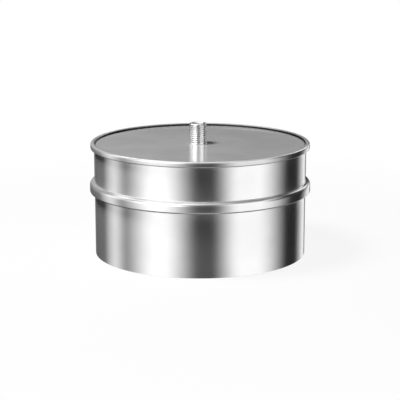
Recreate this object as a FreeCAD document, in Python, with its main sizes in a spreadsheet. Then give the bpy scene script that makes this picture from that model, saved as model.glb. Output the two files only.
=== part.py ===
import FreeCAD, Part
import math
import os

import Sketcher
from FreeCAD import Placement, Rotation, Vector

# Tee cap for a single-wall stainless flue, with a threaded condensate drain.
# It stands on its open mouth, drain up. Origin: centre of the mouth's plane. +Z: the cap's axis,
# from the mouth to the drain. Millimetres.
#
# Two formed sheets, a turned stub and a weld:
#   spigot_shell   rolled sheet: male spigot, stop bead, upper band and hooked edge
#   end_disc       pressed sheet: sunk panel, its edge rolled over the shell's hook
#   drain_nipple   stub with a bore, its shoulder on the panel and its tail through it
#   drain_weld     fillet weld round the tail, under the panel

SIZES = [
    ("sheet", "0.5", "thickness of the shell's and the disc's sheet"),
    ("seam_gap", "0.1", "clearance between the two sheets where they are rolled together"),
    ("spigot_radius", "124.7", "outside of the spigot, which slides into the tee's socket"),
    ("shell_radius", "125", "outside of the upper band"),
    ("insert_depth", "74.2", "mouth to the bead's stop face"),
    ("bead_reach", "5.4", "bead's crown beyond the upper band"),
    ("bead_height", "12.9", "stop face to the end of the sloping shoulder"),
    ("bead_slope", "0.9", "crown's upper corner below the end of the shoulder"),
    ("bead_foot_round", "0.8", "hollow rounds where the bead leaves the walls"),
    ("bead_corner_round", "1.8", "round between the stop face and the crown"),
    ("bead_shoulder_round", "4.5", "round between the crown and the sloping shoulder"),
    ("band_height", "38.8", "end of the shoulder to the rim's underside"),
    ("rim_height", "6.7", "rolled rim, underside to top"),
    ("rim_reach", "4.2", "rolled rim beyond the upper band"),
    ("hook_inner_round", "0.4", "tightest bend, where the shell's edge turns outward"),
    ("hook_outer_round", "1.3", "bend where the shell's edge turns down again"),
    ("hook_end_gap", "0.5", "shell's cut edge above the disc's tucked lip"),
    ("rim_tuck_round", "1.2", "round where the disc's edge tucks under the hook"),
    ("lip_gap", "0.6", "disc's cut edge to the upper band"),
    ("panel_recess", "3", "panel below the top of the rim"),
    ("panel_round", "0.6", "round between the panel and the wall around it"),
    ("drain_offset", "-2.5", "nipple's axis from the cap's axis, along X"),
    ("drain_radius", "10.48", "outside of the nipple, over its thread"),
    ("drain_tail_radius", "9", "tail, which passes through the panel"),
    ("drain_bore_radius", "6.5", "bore that the condensate runs through"),
    ("drain_reach", "24.5", "nipple above the panel"),
    ("drain_inset", "2.5", "tail below the panel's underside"),
    ("drain_chamfer", "1", "lead-in of the thread"),
    ("drain_hole_gap", "0.1", "clearance round the tail in the panel's hole"),
    ("weld_leg", "2", "leg of the fillet weld"),
]

# Radii and heights that several pieces share
CROWN_RADIUS = "(Sizes.shell_radius + Sizes.bead_reach)"
BEAD_TOP = "(Sizes.insert_depth + Sizes.bead_height)"
CROWN_TOP = f"({BEAD_TOP} - Sizes.bead_slope)"
RIM_UNDER = f"({BEAD_TOP} + Sizes.band_height)"
RIM_TOP = f"({RIM_UNDER} + Sizes.rim_height)"
RIM_RADIUS = "(Sizes.shell_radius + Sizes.rim_reach)"
PANEL_TOP = f"({RIM_TOP} - Sizes.panel_recess)"
PANEL_UNDER = f"({PANEL_TOP} - Sizes.sheet)"

# From the disc's outer face, through both sheets and the clearance, to the hook's inner face
SEAM = "(2 * Sizes.sheet + Sizes.seam_gap)"

AXIAL_PLANE = Placement(Vector(0, 0, 0), Rotation(Vector(1, 0, 0), 90))
# A sketch's own origin, and its own horizontal and vertical axis, by their numbers
SKETCH_ORIGIN = (-1, 1)
SKETCH_AXES = {"horizontal": -1, "vertical": -2}

doc = FreeCAD.newDocument("FlueTeeCap")


def make_sizes():
    """Fills the spreadsheet of driving dimensions."""
    sheet = doc.addObject("Spreadsheet::Sheet", "Sizes")
    for row, (name, value, meaning) in enumerate(SIZES, start=1):
        sheet.set(f"A{row}", name)
        sheet.set(f"B{row}", value)
        sheet.set(f"C{row}", meaning)
        sheet.setAlias(f"B{row}", name)
    doc.recompute()
    return sheet


def size(expression):
    """What an expression in the spreadsheet's names comes to, in millimetres."""
    return float(sizes.evalExpression(expression))


def dimension(sketch, constraint, expression):
    """Adds a dimension to a sketch and ties it to an expression."""
    index = sketch.addConstraint(constraint)
    sketch.setExpression(f"Constraints[{index}]", expression)


def fix_point(sketch, point, across, height):
    """Ties a sketch point to its distance from the axis and its height."""
    if across == "0":
        on_axis = Sketcher.Constraint("PointOnObject", point, 1, SKETCH_AXES["vertical"])
        sketch.addConstraint(on_axis)
    else:
        place = Sketcher.Constraint("DistanceX", *SKETCH_ORIGIN, point, 1, size(across))
        dimension(sketch, place, across)
    if height == "0":
        on_axis = Sketcher.Constraint("PointOnObject", point, 1, SKETCH_AXES["horizontal"])
        sketch.addConstraint(on_axis)
    else:
        place = Sketcher.Constraint("DistanceY", *SKETCH_ORIGIN, point, 1, size(height))
        dimension(sketch, place, height)


def corner_arc(before, corner, after, radius):
    """Rounds a corner: the arc, its first and last point, and whether it turns to the left."""
    into = (before - corner).normalize()
    out = (after - corner).normalize()
    half = into.getAngle(out) / 2
    run = radius / math.tan(half)
    start = corner + into * run
    end = corner + out * run
    centre = corner + (into + out).normalize() * (radius / math.sin(half))
    left = into.cross(out).z < 0
    first, last = (start, end) if left else (end, start)
    angles = [math.atan2(point.y - centre.y, point.x - centre.x) for point in (first, last)]
    if angles[1] < angles[0]:
        angles[1] += 2 * math.pi
    circle = Part.Circle(centre, Vector(0, 0, 1), radius)
    return Part.ArcOfCircle(circle, *angles), start, end, left


def sheet_line(name, corners):
    """Draws one face of a sheet in the axial plane, as straight runs with rounded corners.

    A corner is (distance from the axis, height, round). The first and last are the cut edges.
    """
    sketch = doc.addObject("Sketcher::SketchObject", name)
    sketch.Placement = AXIAL_PLANE
    points = [Vector(size(across), size(height), 0) for across, height, _ in corners]
    marks = [sketch.addGeometry(Part.Point(point), True) for point in points]
    for mark, (across, height, _) in zip(marks, corners):
        fix_point(sketch, mark, across, height)

    start = points[0]
    arc_end = None
    for index in range(1, len(points)):
        last = index == len(points) - 1
        if last:
            end = points[index]
        else:
            bend = corner_arc(*points[index - 1:index + 2], size(corners[index][2]))
            arc, end, next_start, left = bend
        line = sketch.addGeometry(Part.LineSegment(start, end))
        if arc_end is None:
            sketch.addConstraint(Sketcher.Constraint("Coincident", line, 1, marks[0], 1))
        else:
            sketch.addConstraint(Sketcher.Constraint("Tangent", *arc_end, line, 1))
            sketch.addConstraint(Sketcher.Constraint("PointOnObject", marks[index - 1], 1, line))
        if last:
            sketch.addConstraint(Sketcher.Constraint("Coincident", line, 2, marks[index], 1))
        else:
            curve = sketch.addGeometry(arc)
            near, far = (1, 2) if left else (2, 1)
            sketch.addConstraint(Sketcher.Constraint("Tangent", line, 2, curve, near))
            sketch.addConstraint(Sketcher.Constraint("PointOnObject", marks[index], 1, line))
            radius = Sketcher.Constraint("Radius", curve, arc.Radius)
            dimension(sketch, radius, corners[index][2])
            arc_end = (curve, far)
            start = next_start
    return sketch


def turned_sheet(name, line, thickness):
    """Gives the sheet its thickness beside the drawn face and turns it about the cap's axis."""
    section = doc.addObject("Part::Offset2D", f"{name}_section")
    section.Source = line
    section.Mode = "Skin"
    section.Fill = True
    section.setExpression("Value", thickness)
    piece = doc.addObject("Part::Revolution", name)
    piece.Source = section
    piece.Base = Vector(0, 0, 0)
    piece.Axis = Vector(0, 0, 1)
    piece.Angle = 360
    piece.Solid = True
    return piece


def make_spigot_shell():
    """Rolled shell. Its outer face is drawn, and the sheet lies inside it."""
    hook_under = f"{RIM_TOP} - {SEAM}"
    hook_leg = f"{RIM_RADIUS} - {SEAM}"
    hook_end = f"{RIM_UNDER} + Sizes.sheet + Sizes.hook_end_gap"
    outer_face = sheet_line("shell_outer_face", [
        ("Sizes.spigot_radius", "0", None),
        ("Sizes.spigot_radius", "Sizes.insert_depth", "Sizes.bead_foot_round"),
        (CROWN_RADIUS, "Sizes.insert_depth", "Sizes.bead_corner_round"),
        (CROWN_RADIUS, CROWN_TOP, "Sizes.bead_shoulder_round"),
        ("Sizes.shell_radius", BEAD_TOP, "Sizes.bead_foot_round"),
        ("Sizes.shell_radius", hook_under, "Sizes.hook_inner_round"),
        (hook_leg, hook_under, "Sizes.hook_outer_round"),
        (hook_leg, hook_end, None),
    ])
    return turned_sheet("spigot_shell", outer_face, "Sizes.sheet")


def make_end_disc():
    """End disc. Its outer face is drawn from the axis, over the hook and in under it."""
    well_radius = f"Sizes.shell_radius - {SEAM}"
    outer_face = sheet_line("disc_outer_face", [
        ("0", PANEL_TOP, None),
        (well_radius, PANEL_TOP, "Sizes.panel_round"),
        (well_radius, RIM_TOP, f"Sizes.hook_inner_round + {SEAM}"),
        (RIM_RADIUS, RIM_TOP, f"Sizes.hook_outer_round + {SEAM}"),
        (RIM_RADIUS, RIM_UNDER, "Sizes.rim_tuck_round"),
        ("Sizes.shell_radius + Sizes.lip_gap", RIM_UNDER, None),
    ])
    blank = turned_sheet("disc_blank", outer_face, "-Sizes.sheet")
    hole = doc.addObject("Part::Cylinder", "drain_hole")
    hole.setExpression("Radius", "Sizes.drain_tail_radius + Sizes.drain_hole_gap")
    hole.setExpression("Height", "3 * Sizes.sheet")
    hole.setExpression("Placement.Base.x", "Sizes.drain_offset")
    hole.setExpression("Placement.Base.z", f"{PANEL_UNDER} - Sizes.sheet")
    disc = doc.addObject("Part::Cut", "end_disc")
    disc.Base = blank
    disc.Tool = hole
    return disc


def origin_plane(body, role):
    """A body's own base plane."""
    return next(plane for plane in body.Origin.OriginFeatures if plane.Role == role)


def ring_pad(body, name, radius, length, downward):
    """Adds a length of pipe to a body, from its base plane upward or downward."""
    rings = body.newObject("Sketcher::SketchObject", f"{name}_rings")
    rings.AttachmentSupport = (origin_plane(body, "XY_Plane"), [""])
    rings.MapMode = "FlatFace"
    for edge in (radius, "Sizes.drain_bore_radius"):
        ring = rings.addGeometry(Part.Circle(Vector(0, 0, 0), Vector(0, 0, 1), size(edge)))
        rings.addConstraint(Sketcher.Constraint("Coincident", ring, 3, *SKETCH_ORIGIN))
        dimension(rings, Sketcher.Constraint("Radius", ring, size(edge)), edge)
    pad = body.newObject("PartDesign::Pad", name)
    pad.Profile = rings
    pad.Reversed = downward
    pad.setExpression("Length", length)
    return pad


def make_drain_nipple():
    """Turned stub. The shoulder between its thread and its thinner tail sits on the panel."""
    body = doc.addObject("PartDesign::Body", "drain_nipple")
    ring_pad(body, "tail", "Sizes.drain_tail_radius", "Sizes.sheet + Sizes.drain_inset", True)
    stub = ring_pad(body, "stub", "Sizes.drain_radius", "Sizes.drain_reach", False)
    doc.recompute()

    # The rim to chamfer is both the widest and the highest circle
    rims = {
        edge.Curve.Radius + edge.Curve.Center.z: f"Edge{index}"
        for index, edge in enumerate(stub.Shape.Edges, start=1)
        if isinstance(edge.Curve, Part.Circle)
    }
    lead_in = body.newObject("PartDesign::Chamfer", "thread_lead_in")
    lead_in.Base = (stub, [rims[max(rims)]])
    lead_in.setExpression("Size", "Sizes.drain_chamfer")
    body.Tip = lead_in
    body.setExpression("Placement.Base.x", "Sizes.drain_offset")
    body.setExpression("Placement.Base.z", PANEL_TOP)
    return body


def make_drain_weld():
    """Quarter-round fillet weld in the corner between the tail and the panel."""
    body = doc.addObject("PartDesign::Body", "drain_weld")
    bead = body.newObject("Sketcher::SketchObject", "weld_section")
    bead.AttachmentSupport = (origin_plane(body, "XZ_Plane"), [""])
    bead.MapMode = "FlatFace"
    root = Vector(size("Sizes.drain_tail_radius"), 0, 0)
    leg = size("Sizes.weld_leg")
    under_panel = bead.addGeometry(Part.LineSegment(root, root + Vector(leg, 0, 0)))
    along_tail = bead.addGeometry(Part.LineSegment(root, root - Vector(0, leg, 0)))
    circle = Part.Circle(root, Vector(0, 0, 1), leg)
    face = bead.addGeometry(Part.ArcOfCircle(circle, -math.pi / 2, 0))
    for constraint in (
        Sketcher.Constraint("PointOnObject", under_panel, 1, SKETCH_AXES["horizontal"]),
        Sketcher.Constraint("Horizontal", under_panel),
        Sketcher.Constraint("Vertical", along_tail),
        Sketcher.Constraint("Coincident", along_tail, 1, under_panel, 1),
        Sketcher.Constraint("Coincident", face, 3, under_panel, 1),
        Sketcher.Constraint("Coincident", face, 1, along_tail, 2),
        Sketcher.Constraint("Coincident", face, 2, under_panel, 2),
    ):
        bead.addConstraint(constraint)
    place = Sketcher.Constraint("DistanceX", *SKETCH_ORIGIN, under_panel, 1, root.x)
    dimension(bead, place, "Sizes.drain_tail_radius")
    dimension(bead, Sketcher.Constraint("Radius", face, leg), "Sizes.weld_leg")
    ring = body.newObject("PartDesign::Revolution", "weld_ring")
    ring.Profile = bead
    ring.ReferenceAxis = (bead, ["V_Axis"])
    ring.Angle = 360
    body.setExpression("Placement.Base.x", "Sizes.drain_offset")
    body.setExpression("Placement.Base.z", PANEL_UNDER)
    return body


def check(pieces):
    """Stops if any object failed, a sketch is loose or a piece isn't one valid solid."""
    for item in doc.Objects:
        if "Invalid" in item.State or "Error" in item.State:
            raise RuntimeError(f"{item.Name} failed: {item.State}")
        if item.isDerivedFrom("Sketcher::SketchObject") and item.solve() != 0:
            raise RuntimeError(f"{item.Name} has no solution")
    for piece in pieces:
        shape = piece.Shape
        if shape.isNull() or not shape.isValid() or len(shape.Solids) != 1:
            raise RuntimeError(f"{piece.Label} isn't one valid solid")


sizes = make_sizes()
pieces = [make_spigot_shell(), make_end_disc(), make_drain_nipple(), make_drain_weld()]
doc.recompute()
check(pieces)

os.makedirs("parts", exist_ok=True)
for piece in pieces:
    piece.Shape.exportStep(f"parts/{piece.Label}.step")
    box = piece.Shape.optimalBoundingBox()
    print(f"{piece.Label}: {piece.Shape.Volume:.0f} mm3, z {box.ZMin:.2f} to {box.ZMax:.2f},"
          f" x {box.XMin:.2f} to {box.XMax:.2f}")
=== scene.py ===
import math
import random
from collections import namedtuple

import bmesh
import bpy
from mathutils import Matrix, Vector


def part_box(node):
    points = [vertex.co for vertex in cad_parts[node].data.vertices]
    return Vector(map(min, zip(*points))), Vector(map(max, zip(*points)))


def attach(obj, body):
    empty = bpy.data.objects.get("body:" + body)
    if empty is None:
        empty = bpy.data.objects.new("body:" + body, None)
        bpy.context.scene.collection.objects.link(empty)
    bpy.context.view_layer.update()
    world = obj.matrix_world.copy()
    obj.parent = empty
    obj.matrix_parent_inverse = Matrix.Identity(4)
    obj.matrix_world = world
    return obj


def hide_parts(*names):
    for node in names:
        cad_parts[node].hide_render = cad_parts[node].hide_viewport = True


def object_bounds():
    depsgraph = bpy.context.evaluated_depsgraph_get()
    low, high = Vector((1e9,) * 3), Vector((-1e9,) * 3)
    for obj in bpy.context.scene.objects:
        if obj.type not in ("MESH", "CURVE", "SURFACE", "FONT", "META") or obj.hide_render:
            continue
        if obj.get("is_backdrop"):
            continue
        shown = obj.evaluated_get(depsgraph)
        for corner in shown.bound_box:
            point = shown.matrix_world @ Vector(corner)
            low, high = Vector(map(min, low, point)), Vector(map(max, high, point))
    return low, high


# A stainless tee cap for a flue, standing on its mouth with its threaded drain nipple up.
# Metres, in the frame of the solids: +Z up, the photograph's viewer on the -Y side.

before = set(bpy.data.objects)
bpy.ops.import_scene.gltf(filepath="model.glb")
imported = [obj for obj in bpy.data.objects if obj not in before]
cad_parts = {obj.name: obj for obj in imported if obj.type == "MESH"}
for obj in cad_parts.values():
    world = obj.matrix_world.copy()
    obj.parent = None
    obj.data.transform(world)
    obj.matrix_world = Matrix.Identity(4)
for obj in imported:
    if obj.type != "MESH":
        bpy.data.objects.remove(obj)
cad_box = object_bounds()

# Camera, as fitted to the outline in the photograph
IMAGE_WIDTH = 400
FOCAL_PIXELS = 1361.1
SENSOR_WIDTH = 36
CAMERA_ELEVATION = 12.859
CAMERA_DISTANCE = 1.6215
CAMERA_TARGET = Vector((-0.0001, 0, 0.0611))

# Sizes that the two formed sheets share with their solids
SHEET = 0.0005
SEAM = 0.0011
SPIGOT_RADIUS = 0.1247
SHELL_RADIUS = 0.125
STOP_FACE = 0.0742
BEAD_HEIGHT = 0.0129
BEAD_SLOPE = 0.0009
BEAD_ROUNDS = (0.0008, 0.0018, 0.0045, 0.0008)
HOOK_INNER_ROUND = 0.0004
HOOK_OUTER_ROUND = 0.0013
HOOK_END_GAP = 0.0005
RIM_TUCK_ROUND = 0.0012
LIP_GAP = 0.0006
PANEL_ROUND = 0.0006
CUT_EDGE_ROUND = 0.0001

# Sizes of the nipple and its weld
DRAIN_HOLE_RADIUS = 0.0091
BORE_RADIUS = 0.0065
TAIL_RADIUS = 0.009
TAIL_EDGE = 0.0003
THREAD_CHAMFER = 0.001
MOUTH_CHAMFER = 0.002
WELD_ROOT_DEPTH = 0.0002
WELD_RIPPLES = 44
SMALLEST_RIPPLE = 0.93
RIPPLE_DEPTH = 0.07

# Weld of the shell's lengthwise seam. The photograph shows none, so it is on the side turned away.
SEAM_ANGLE = math.radians(112)
SEAM_WIDTH = 0.0024
SEAM_PROUD = 0.00008
SEAM_STOPS = (-1, -0.6, -0.2, 0.2, 0.6, 1)

# Thread of the nipple, as coarse as the photograph shows it. Crest and root are shares of a turn.
THREAD_TURNS = 10
THREAD_DEPTH = 0.0011
THREAD_CREST = 0.4
THREAD_ROOT = 0.12
THREAD_RUNOUT = 0.0012

# Fineness of the meshes
LONGEST_RUN = 0.012
ROUND_STEPS = 8
SHEET_SPOTS = 256
NIPPLE_SPOTS = 128
ROWS_PER_TURN = 16
STEPS_PER_RIPPLE = 12
FILLET_STEPS = 10
SHARP_ANGLE = math.radians(35)

# Colours of the metals, and the colour and roughness of the painted shade in hollows
STEEL = (0.8, 0.8, 0.8)
WELD_METAL = (0.6, 0.59, 0.57)
SEAM_METAL = (0.68, 0.665, 0.64)
PAINTED_SHADE_COLOUR = (0.012, 0.012, 0.011)
PAINTED_SHADE_ROUGHNESS = 0.4

# Clouds change the metal's tone, and clouds and lines together its roughness, by these shares
# while the noise goes from the first to the last value of its range
TONE_RANGE = (0.95, 1.03)
ROUGHNESS_RANGE = (0.85, 1.15)
NOISE_RANGE = (0.3, 0.7)
CLOUDS_PER_METRE = 25.0
WAVES_PER_METRE = 14.0

# Share of the surface that mirrors, where the rest scatters light as a satin finish does
SHELL_MIRRORING = 0.54
DISC_MIRRORING = 0.4
TURNED_MIRRORING = 0.78

# Light and floor
PLAIN_LIGHT = 0.06
KEY_LIGHT = 28.5
KEY_SIZE = 0.53
KEY_PLACE = Vector((-0.69, -0.224, 1.556))
KEY_AIM = Vector((0, 0, 0.13))
WHITE = (1, 1, 1, 1)
FLOOR_COLOUR = (0.86, 0.86, 0.86, 1)
FLOOR_WHITENESS = 0.9
SHADOW_REACH = (0.25, 0.7)
FLOOR_REACH = 8

# What the metal mirrors, each card laid over those before it. Degrees: azimuth 0 is towards the
# camera and grows to the right. Each card: azimuths from and to, the soft edge at each of them,
# elevations from and to, the soft edge at both of them, level.
STUDIO_BASE = 0.25
ALL_ROUND = (-200, 200)
STUDIO_CARDS = {
    "floor": (ALL_ROUND, (1, 1), (-100, -26), 10, 0.28),
    "floor_in_front": ((-30, 40), (20, 20), (-100, -26), 10, 0.12),
    "far_floor_in_front": ((-24, 34), (16, 16), (-52, -30), 8, 1.5),
    "floor_at_left": ((-185, -98), (20, 20), (-100, -26), 10, 0.05),
    "ceiling": (ALL_ROUND, (1, 1), (56, 100), 20, 0.72),
    "ceiling_softbox": ((-160, -12), (30, 50), (54, 84), 14, 2.1),
    "zenith": (ALL_ROUND, (1, 1), (69, 100), 8, 1.1),
    "left_rear_wall": ((-162, -122), (20, 16), (-26, 40), 10, 0.03),
    "left_narrow_softbox": ((-116, -95.5), (28, 24), (-26, 38), 10, 1.3),
    "front_wall": ((-30, 34), (18, 16), (-26, 48), 10, 0.032),
    "ground_in_front": ((-26, 34), (16, 16), (-26, -15.3), 2.5, 0.11),
    "left_softbox": ((-70, -20), (44, 40), (-26, 84), 10, 2.15),
    "right_softbox": ((27.5, 109), (34, 20), (-26, 46), 12, 2.12),
    "right_flag": ((87, 137), (50, 33), (-26, 38), 10, 0.003),
    "right_rear_softbox": ((140, 160), (28, 12), (-26, 6), 8, 1.35),
    "rear_wall": ((165, 190), (10, 20), (-26, 45), 10, 0.05),
    "high_left_softbox": ((-68, -17), (16, 16), (6, 21), 6, 4.5),
    "left_strip_light": ((-113, -60), (10, 12), (11.8, 14.2), 2.5, 5.0),
    "upper_left_softbox": ((-168, -102), (12, 16), (40, 54), 8, 1.9),
    "high_right_flag": ((76, 126), (16, 10), (6, 21), 6, 0.03),
    "high_right_rear_softbox": ((145, 163), (10, 8), (12.5, 38), 6, 1.55),
}

# Painted shade, as dark and dull metal: how far it is, and the zone round an upright axis where it
# is
PaintedShade = namedtuple("PaintedShade", "share centre_x reaches heights edge")

# Corners of the solids' boxes, and the places that follow from them
shell_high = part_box("spigot_shell")[1]
disc_low, disc_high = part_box("end_disc")
nipple_low, nipple_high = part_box("drain_nipple")
weld_low, weld_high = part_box("drain_weld")
panel_top = weld_high.z + SHEET
drain_x = (nipple_low.x + nipple_high.x) / 2
thread_radius = (nipple_high.x - nipple_low.x) / 2


def add(tree, kind, inputs=None, **settings):
    """Adds a shader node. Its inputs are values or other nodes' outputs."""
    made = tree.nodes.new("ShaderNode" + kind)
    for name, value in settings.items():
        setattr(made, name, value)
    for key, value in (inputs or {}).items():
        if isinstance(value, bpy.types.NodeSocket):
            tree.links.new(value, made.inputs[key])
        else:
            made.inputs[key].default_value = value
    return made


def math_node(tree, operation, *values):
    """The output of a math node."""
    return add(tree, "Math", dict(enumerate(values)), operation=operation).outputs[0]


def ramp(tree, value, start, end, first=0.0, last=1.0):
    """A smooth step from first to last while value goes from start to end."""
    inputs = {"Value": value, "From Min": start, "From Max": end, "To Min": first, "To Max": last}
    return add(tree, "MapRange", inputs, interpolation_type="SMOOTHSTEP").outputs[0]


def between(tree, value, low, high, low_edge, high_edge):
    """1 where value is between low and high, with soft edges of the widths given."""
    rise = ramp(tree, value, low - low_edge / 2, low + low_edge / 2)
    fall = ramp(tree, value, high - high_edge / 2, high + high_edge / 2, 1.0, 0.0)
    return math_node(tree, "MULTIPLY", rise, fall)


def blend(tree, factor, first, second):
    """A number that goes from first to second with the factor."""
    return add(tree, "Mix", {0: factor, 2: first, 3: second}, data_type="FLOAT").outputs[0]


def blend_colours(tree, factor, first, second):
    """A colour that goes from first to second with the factor."""
    inputs = {0: factor, 6: first, 7: second}
    return add(tree, "Mix", inputs, data_type="RGBA").outputs["Result"]


def noise(tree, place, scale, detail):
    """Soft noise, from 0 to 1."""
    return add(tree, "TexNoise", {"Vector": place, "Scale": scale, "Detail": detail}).outputs[0]


def make_world():
    """A plain light, a white backdrop, and soft cards that only the metal sees."""
    world = bpy.data.worlds.new("studio")
    bpy.context.scene.world = world
    world.use_nodes = True
    tree = world.node_tree
    tree.nodes.clear()

    direction = add(tree, "TexCoord").outputs["Generated"]
    parts = add(tree, "SeparateXYZ", {0: direction}).outputs
    towards_camera = math_node(tree, "MULTIPLY", parts["Y"], -1.0)
    azimuth = math_node(tree, "DEGREES", math_node(tree, "ARCTAN2", parts["X"], towards_camera))
    elevation = math_node(tree, "DEGREES", math_node(tree, "ARCSINE", parts["Z"]))

    mirrored = STUDIO_BASE
    for name, (azimuths, side_edges, elevations, upright_edge, level) in STUDIO_CARDS.items():
        left, right = azimuths
        half = (right - left) / 2
        from_middle = math_node(tree, "SUBTRACT", azimuth, (left + right) / 2)
        offset = math_node(tree, "WRAP", from_middle, 180.0, -180.0)
        across = between(tree, offset, -half, half, *side_edges)
        upright = between(tree, elevation, *elevations, upright_edge, upright_edge)
        mirrored = blend(tree, math_node(tree, "MULTIPLY", across, upright), mirrored, level)
        mirrored.node.label = name

    rays = add(tree, "LightPath").outputs
    by_metal = math_node(tree, "MAXIMUM", rays["Is Glossy Ray"], rays["Is Transmission Ray"])
    light = blend(tree, by_metal, PLAIN_LIGHT, mirrored)
    light = blend(tree, rays["Is Camera Ray"], light, 1.0)
    background = add(tree, "Background", {"Color": WHITE, "Strength": light})
    add(tree, "OutputWorld", {"Surface": background.outputs[0]})


def new_material(name):
    """An empty material, its node tree and its output's surface input."""
    material = bpy.data.materials.new(name)
    material.use_nodes = True
    tree = material.node_tree
    tree.nodes.clear()
    return material, tree, add(tree, "OutputMaterial").inputs["Surface"]


def zone(tree, place, centre_x, reaches, heights, edge):
    """1 where a point's distance from an upright axis and its height are within their limits."""
    parts = add(tree, "SeparateXYZ", {0: place}).outputs
    across = math_node(tree, "SUBTRACT", parts["X"], centre_x)
    plan = add(tree, "CombineXYZ", {"X": across, "Y": parts["Y"]}).outputs[0]
    reach = add(tree, "VectorMath", {0: plan}, operation="LENGTH").outputs["Value"]
    inside = between(tree, reach, *reaches, edge, edge)
    return math_node(tree, "MULTIPLY", inside, between(tree, parts["Z"], *heights, edge, edge))


def steel(name, colour, mirroring, roughness, grain, grain_height, anisotropy=0, waves=0,
          painted_shade=None):
    """Bright steel with the fine lines that rolling or turning leaves.

    grain is how many lines there are to a metre along X, Y and Z, and waves the height of the
    sheet's slow unevenness.
    """
    material, tree, surface = new_material(name)
    place = add(tree, "TexCoord").outputs["Object"]
    along_grain = add(tree, "Mapping", {"Vector": place, "Scale": grain}).outputs[0]
    lines = noise(tree, along_grain, 1.0, 3.0)
    clouds = noise(tree, place, CLOUDS_PER_METRE, 2.0)

    dull, bright = (tuple(share * part for part in colour) + (1,) for share in TONE_RANGE)
    tone = blend_colours(tree, ramp(tree, clouds, *NOISE_RANGE), dull, bright)
    uneven = math_node(tree, "ADD", math_node(tree, "MULTIPLY", lines, 0.5),
                       math_node(tree, "MULTIPLY", clouds, 0.5))
    smoothest, roughest = (share * roughness for share in ROUGHNESS_RANGE)
    rough = add(tree, "MapRange", {
        "Value": uneven,
        "From Min": NOISE_RANGE[0],
        "From Max": NOISE_RANGE[1],
        "To Min": smoothest,
        "To Max": roughest,
    }).outputs[0]
    # Painted shade: the zone is darkened and dulled where shade falls in a groove or recess
    if painted_shade:
        share, *limits = painted_shade
        dark = math_node(tree, "MULTIPLY", zone(tree, place, *limits), share)
        tone = blend_colours(tree, dark, tone, PAINTED_SHADE_COLOUR + (1,))
        rough = blend(tree, dark, rough, PAINTED_SHADE_ROUGHNESS)
        mirroring = blend(tree, dark, mirroring, 1.0)

    height = math_node(tree, "MULTIPLY", lines, grain_height)
    if waves:
        slow = noise(tree, place, WAVES_PER_METRE, 1.0)
        height = math_node(tree, "MULTIPLY_ADD", slow, waves, height)
    bump = add(tree, "Bump", {"Height": height, "Strength": 1.0, "Distance": 1.0})
    shader = add(tree, "BsdfPrincipled", {
        "Base Color": tone,
        "Metallic": mirroring,
        "Roughness": rough,
        "Normal": bump.outputs[0],
    })
    if anisotropy:
        # The lines run round the axis, so highlights spread across them, up and down the wall
        quarter_turn = 0.25
        tangent = add(tree, "Tangent", direction_type="RADIAL", axis="Z")
        tree.links.new(tangent.outputs[0], shader.inputs["Tangent"])
        shader.inputs["Anisotropic"].default_value = anisotropy
        shader.inputs["Anisotropic Rotation"].default_value = quarter_turn
    tree.links.new(shader.outputs[0], surface)
    return material


def floor_material():
    """Pale matt floor. The camera sees it mostly plain white, and wholly so away from the cap."""
    material, tree, surface = new_material("floor_paint")
    place = add(tree, "TexCoord").outputs["Object"]
    away = add(tree, "VectorMath", {0: place}, operation="LENGTH").outputs["Value"]
    whiteness = ramp(tree, away, *SHADOW_REACH, FLOOR_WHITENESS, 1.0)
    matt = add(tree, "BsdfDiffuse", {"Color": FLOOR_COLOUR})
    white = add(tree, "Emission", {"Color": WHITE, "Strength": 1.0})
    seen = add(tree, "LightPath").outputs["Is Camera Ray"]
    share = math_node(tree, "MULTIPLY", seen, whiteness)
    mix = add(tree, "MixShader", {0: share, 1: matt.outputs[0], 2: white.outputs[0]})
    tree.links.new(mix.outputs[0], surface)
    return material


def mesh_object(name, points, faces, material):
    """A piece made of points and faces, smooth but for its sharp edges."""
    mesh = bpy.data.meshes.new(name)
    mesh.from_pydata(points, [], faces)
    shape = bmesh.new()
    shape.from_mesh(mesh)
    bmesh.ops.recalc_face_normals(shape, faces=shape.faces)
    shape.to_mesh(mesh)
    shape.free()
    mesh.polygons.foreach_set("use_smooth", [True] * len(mesh.polygons))
    mesh.set_sharp_from_angle(angle=SHARP_ANGLE)
    mesh.materials.append(material)
    made = bpy.data.objects.new(name, mesh)
    bpy.context.scene.collection.objects.link(made)
    return made


def ring_faces(rings, around, closed):
    """Quads between rings of points, each ring with as many points around."""
    faces = []
    for ring in range(rings if closed else rings - 1):
        low = ring * around
        high = (ring + 1) % rings * around
        for spot in range(around):
            after = (spot + 1) % around
            faces.append((low + spot, low + after, high + after, high + spot))
    return faces


def rounded_line(corners, side):
    """Points along a line of straight runs with rounded corners, each with the way its face looks.

    A corner is (distance from the axis, height, round). The face looks to the right of the line
    where side is 1 and to the left where it is -1.
    """
    stops = [Vector(corner[:2]) for corner in corners]
    line = []
    start = stops[0]
    for index in range(1, len(stops)):
        corner = stops[index]
        rounding = index < len(stops) - 1
        if rounding:
            into = (stops[index - 1] - corner).normalized()
            out = (stops[index + 1] - corner).normalized()
            half = into.angle(out) / 2
            radius = corners[index][2]
            end = corner + into * (radius / math.tan(half))
            centre = corner + (into + out).normalized() * (radius / math.sin(half))
        else:
            end = corner
        run = end - start
        facing = Vector((run.y, -run.x)).normalized() * side
        parts = math.ceil(run.length / LONGEST_RUN)
        line += [(start + run * part / parts, facing) for part in range(parts + 1)]
        if rounding:
            first = end - centre
            turn = math.pi - 2 * half
            if into.x * out.y - into.y * out.x > 0:
                turn = -turn
            bulge = 1 if first.dot(facing) > 0 else -1
            for step in range(1, ROUND_STEPS):
                spoke = Matrix.Rotation(turn * step / ROUND_STEPS, 2) @ first
                line.append((centre + spoke, spoke.normalized() * bulge))
            start = centre + Matrix.Rotation(turn, 2) @ first
    return line


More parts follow.
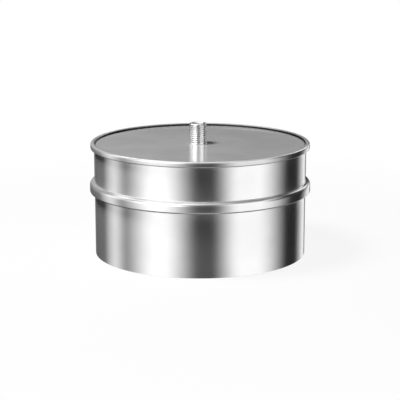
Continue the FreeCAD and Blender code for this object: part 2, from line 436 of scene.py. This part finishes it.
def sheet_section(line):
    """Outline of a sheet, from the line of its face, with its cut edges broken."""
    def edge_stop(point, facing, along):
        """The four points round a cut edge, from the face to the back."""
        back = point - facing * SHEET
        return [point + along * CUT_EDGE_ROUND, point - facing * CUT_EDGE_ROUND,
                back + facing * CUT_EDGE_ROUND, back + along * CUT_EDGE_ROUND]

    first, second = line[0][0], line[1][0]
    before_last, last = line[-2][0], line[-1][0]
    opening = edge_stop(first, line[0][1], (second - first).normalized())
    closing = edge_stop(last, line[-1][1], (before_last - last).normalized())
    face = [point for point, _ in line[1:-1]]
    back = [point - facing * SHEET for point, facing in line[1:-1]]
    return opening[1::-1] + face + closing + back[::-1] + opening[:1:-1]


def turned_sheet(name, line, material, node, centre_of=None):
    """A sheet turned from the line of its face, which stands for a node.

    centre_of gives a ring's centre along X, from its radius.
    """
    section = sheet_section(line)
    points = []
    for reach, height in section:
        middle = centre_of(reach) if centre_of else 0
        for spot in range(SHEET_SPOTS):
            angle = 2 * math.pi * spot / SHEET_SPOTS
            x = middle + reach * math.cos(angle)
            points.append((x, reach * math.sin(angle), height))
    piece = mesh_object(name, points, ring_faces(len(section), SHEET_SPOTS, True), material)
    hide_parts(node)
    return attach(piece, "root")


def wall_corners(mouth):
    """Corners of the shell's line from the height of its mouth up over the stop bead."""
    crown_radius = shell_high.x
    foot, corner, shoulder, top = BEAD_ROUNDS
    return [
        (SPIGOT_RADIUS, mouth, 0),
        (SPIGOT_RADIUS, STOP_FACE, foot),
        (crown_radius, STOP_FACE, corner),
        (crown_radius, STOP_FACE + BEAD_HEIGHT - BEAD_SLOPE, shoulder),
        (SHELL_RADIUS, STOP_FACE + BEAD_HEIGHT, top),
    ]


def make_shell(material):
    """Rolled shell: spigot, stop bead, upper band and the hook inside the rim."""
    hook_under = disc_high.z - SEAM
    hook_leg = disc_high.x - SEAM
    line = rounded_line(wall_corners(0) + [
        (SHELL_RADIUS, hook_under, HOOK_INNER_ROUND),
        (hook_leg, hook_under, HOOK_OUTER_ROUND),
        (hook_leg, disc_low.z + SHEET + HOOK_END_GAP, 0),
    ], 1)
    return turned_sheet("formed_shell", line, material, "spigot_shell")


def make_seam_weld(material):
    """Weld bead of the lengthwise seam, from the mouth up over the stop bead to the rim."""
    line = rounded_line(wall_corners(CUT_EDGE_ROUND) + [(SHELL_RADIUS, disc_low.z, 0)], 1)
    half_width = SEAM_WIDTH / 2
    outline = [(half_width * share, SEAM_PROUD * (1 - share * share)) for share in SEAM_STOPS]
    outline += [(half_width, -SHEET / 2), (-half_width, -SHEET / 2)]
    points = []
    for point, facing in line:
        for aside, proud in outline:
            place = point + facing * proud
            angle = SEAM_ANGLE + aside / place.x
            points.append((place.x * math.cos(angle), place.x * math.sin(angle), place.y))
    around = len(outline)
    faces = ring_faces(len(line), around, False)
    faces += [tuple(range(around)), tuple(range(len(points) - around, len(points)))]
    piece = mesh_object("seam_weld", points, faces, material)
    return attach(piece, "root")


def make_disc(material):
    """Pressed end disc: flat panel, wall and the edge rolled over the shell's hook."""
    rim_under, rim_top, rim_radius = disc_low.z, disc_high.z, disc_high.x
    well_radius = SHELL_RADIUS - SEAM
    line = rounded_line([
        (DRAIN_HOLE_RADIUS, panel_top, 0),
        (well_radius, panel_top, PANEL_ROUND),
        (well_radius, rim_top, HOOK_INNER_ROUND + SEAM),
        (rim_radius, rim_top, HOOK_OUTER_ROUND + SEAM),
        (rim_radius, rim_under, RIM_TUCK_ROUND),
        (SHELL_RADIUS + LIP_GAP, rim_under, 0),
    ], -1)

    def centre_of(reach):
        """The rings go from the drain's hole, which is beside the axis, to the round panel."""
        share = (reach - DRAIN_HOLE_RADIUS) / (well_radius / 2 - DRAIN_HOLE_RADIUS)
        return drain_x * (1 - min(1, max(0, share)))

    return turned_sheet("pressed_disc", line, material, "end_disc", centre_of)


def thread_height(turn):
    """Height of the thread's ridge, 0 to 1, at a share of its turn from the crest's middle."""
    away = abs(turn - round(turn)) * 2
    flank = (away - THREAD_CREST) / (1 - THREAD_CREST - THREAD_ROOT)
    down = min(1, max(0, flank))
    return 1 - down * down * (3 - 2 * down)


def make_nipple(material):
    """Turned nipple with its right-hand thread, chamfered mouth, bore and tail."""
    low, high = nipple_low.z, nipple_high.z
    pitch = (high - panel_top) / THREAD_TURNS

    def ring(radius, z):
        """A ring of points, whose radius is a number or a function of the angle."""
        for spot in range(NIPPLE_SPOTS):
            angle = 2 * math.pi * spot / NIPPLE_SPOTS
            reach = radius(angle) if callable(radius) else radius
            yield drain_x + reach * math.cos(angle), reach * math.sin(angle), z

    def threaded(z):
        """Radius of the thread at a height, for every angle."""
        fade = min(1, (z - panel_top) / THREAD_RUNOUT)
        lead_in = thread_radius - THREAD_CHAMFER + (high - z)

        def radius(angle):
            groove = 1 - thread_height((z - panel_top) / pitch - angle / (2 * math.pi))
            return min(thread_radius - THREAD_DEPTH * groove * fade, lead_in)
        return radius

    rings = [
        ring(BORE_RADIUS + TAIL_EDGE, low),
        ring(TAIL_RADIUS - TAIL_EDGE, low),
        ring(TAIL_RADIUS, low + TAIL_EDGE),
        ring(TAIL_RADIUS, panel_top),
    ]
    rows = THREAD_TURNS * ROWS_PER_TURN
    for row in range(rows + 1):
        z = panel_top + (high - panel_top) * row / rows
        rings.append(ring(threaded(z), z))
    rings += [
        ring(BORE_RADIUS + MOUTH_CHAMFER, high),
        ring(BORE_RADIUS, high - MOUTH_CHAMFER),
        ring(BORE_RADIUS, low + TAIL_EDGE),
    ]
    points = [point for one_ring in rings for point in one_ring]
    faces = ring_faces(len(rings), NIPPLE_SPOTS, True)
    piece = mesh_object("threaded_nipple", points, faces, material)
    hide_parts("drain_nipple")
    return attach(piece, "root")


def make_drain_weld(material):
    """Fillet weld round the tail, laid as a row of overlapping ripples."""
    low, high = weld_low.z, weld_high.z
    axis_x = (weld_low.x + weld_high.x) / 2
    leg = high - low
    chance = random.Random(5)
    swell = [chance.uniform(SMALLEST_RIPPLE, 1.0) for _ in range(WELD_RIPPLES)]
    around = WELD_RIPPLES * STEPS_PER_RIPPLE
    points = []
    for spot in range(around):
        ripple, step = divmod(spot, STEPS_PER_RIPPLE)
        share = step / STEPS_PER_RIPPLE
        size = swell[ripple] * (1 - share) + swell[(ripple + 1) % WELD_RIPPLES] * share
        ridge = 1 - RIPPLE_DEPTH * share * share
        reach = leg * size * ridge
        angle = 2 * math.pi * spot / around
        outline = [(TAIL_RADIUS - WELD_ROOT_DEPTH, high + WELD_ROOT_DEPTH)]
        for stop in range(FILLET_STEPS + 1):
            turn = math.pi / 2 * stop / FILLET_STEPS
            outline.append((TAIL_RADIUS + reach * math.cos(turn), high - reach * math.sin(turn)))
        points += [(axis_x + r * math.cos(angle), r * math.sin(angle), z) for r, z in outline]
    faces = ring_faces(around, FILLET_STEPS + 2, True)
    piece = mesh_object("rippled_weld", points, faces, material)
    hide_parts("drain_weld")
    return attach(piece, "root")


def make_floor():
    """The pale floor that the cap stands on."""
    far = FLOOR_REACH
    corners = [(-far, -far, 0), (far, -far, 0), (far, far, 0), (-far, far, 0)]
    floor = mesh_object("floor", corners, [(0, 1, 2, 3)], floor_material())
    floor.visible_glossy = False
    floor.visible_diffuse = False
    floor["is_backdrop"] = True


def make_lamp():
    """One large soft lamp from the upper left."""
    lamp = bpy.data.objects.new("key_lamp", bpy.data.lights.new("key_lamp", "AREA"))
    bpy.context.scene.collection.objects.link(lamp)
    lamp.data.energy = KEY_LIGHT
    lamp.data.size = KEY_SIZE
    lamp.location = KEY_PLACE
    lamp.rotation_mode = "QUATERNION"
    lamp.rotation_quaternion = (KEY_AIM - KEY_PLACE).to_track_quat("-Z", "Y")
    lamp.visible_glossy = False


def make_camera():
    """The photograph's camera."""
    camera = bpy.data.objects.new("camera", bpy.data.cameras.new("camera"))
    bpy.context.scene.collection.objects.link(camera)
    camera.data.sensor_width = SENSOR_WIDTH
    camera.data.lens = SENSOR_WIDTH * FOCAL_PIXELS / IMAGE_WIDTH
    tilt = math.radians(CAMERA_ELEVATION)
    back = Vector((0, -math.cos(tilt), math.sin(tilt)))
    camera.location = CAMERA_TARGET + back * CAMERA_DISTANCE
    camera.rotation_mode = "QUATERNION"
    camera.rotation_quaternion = (-back).to_track_quat("-Z", "Y")
    bpy.context.scene.camera = camera


bpy.context.scene.view_settings.view_transform = "Standard"

# Painted shade in the groove where the wall inside the rim meets the panel, which shows as a dark
# line
well_painted_shade = PaintedShade(
    share=0.99,
    centre_x=0,
    reaches=(0.1233, 0.1254),
    heights=(panel_top - 0.002, panel_top + 0.0026),
    edge=0.0012,
)
# Painted shade on the nipple above the panel, inside the thread's flanks: the roots of the thread,
# and the bore
nipple_painted_shade = PaintedShade(
    share=0.35,
    centre_x=drain_x,
    reaches=(-0.001, thread_radius - 0.55 * THREAD_DEPTH),
    heights=(panel_top, nipple_high.z - 0.001),
    edge=0.0003,
)

make_shell(steel(
    "rolled_steel", STEEL, SHELL_MIRRORING, roughness=0.14, grain=(50, 50, 2500),
    grain_height=0.000003, anisotropy=0.5, waves=0.00005))
make_seam_weld(steel(
    "seam_metal", SEAM_METAL, SHELL_MIRRORING, roughness=0.28, grain=(300, 300, 1400),
    grain_height=0.00002))
make_disc(steel(
    "pressed_steel", STEEL, DISC_MIRRORING, roughness=0.12, grain=(60, 1500, 1500),
    grain_height=0.000001, waves=0.000005, painted_shade=well_painted_shade))
make_nipple(steel(
    "turned_steel", STEEL, TURNED_MIRRORING, roughness=0.13, grain=(100, 100, 6000),
    grain_height=0.000003, painted_shade=nipple_painted_shade))
make_drain_weld(steel(
    "weld_metal", WELD_METAL, TURNED_MIRRORING, roughness=0.3, grain=(900, 900, 900),
    grain_height=0.00003))

make_world()
make_floor()
make_lamp()
make_camera()

size_boxes = {"cad": cad_box, "visual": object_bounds()}
{name: [list(corner) for corner in box] for name, box in size_boxes.items()}
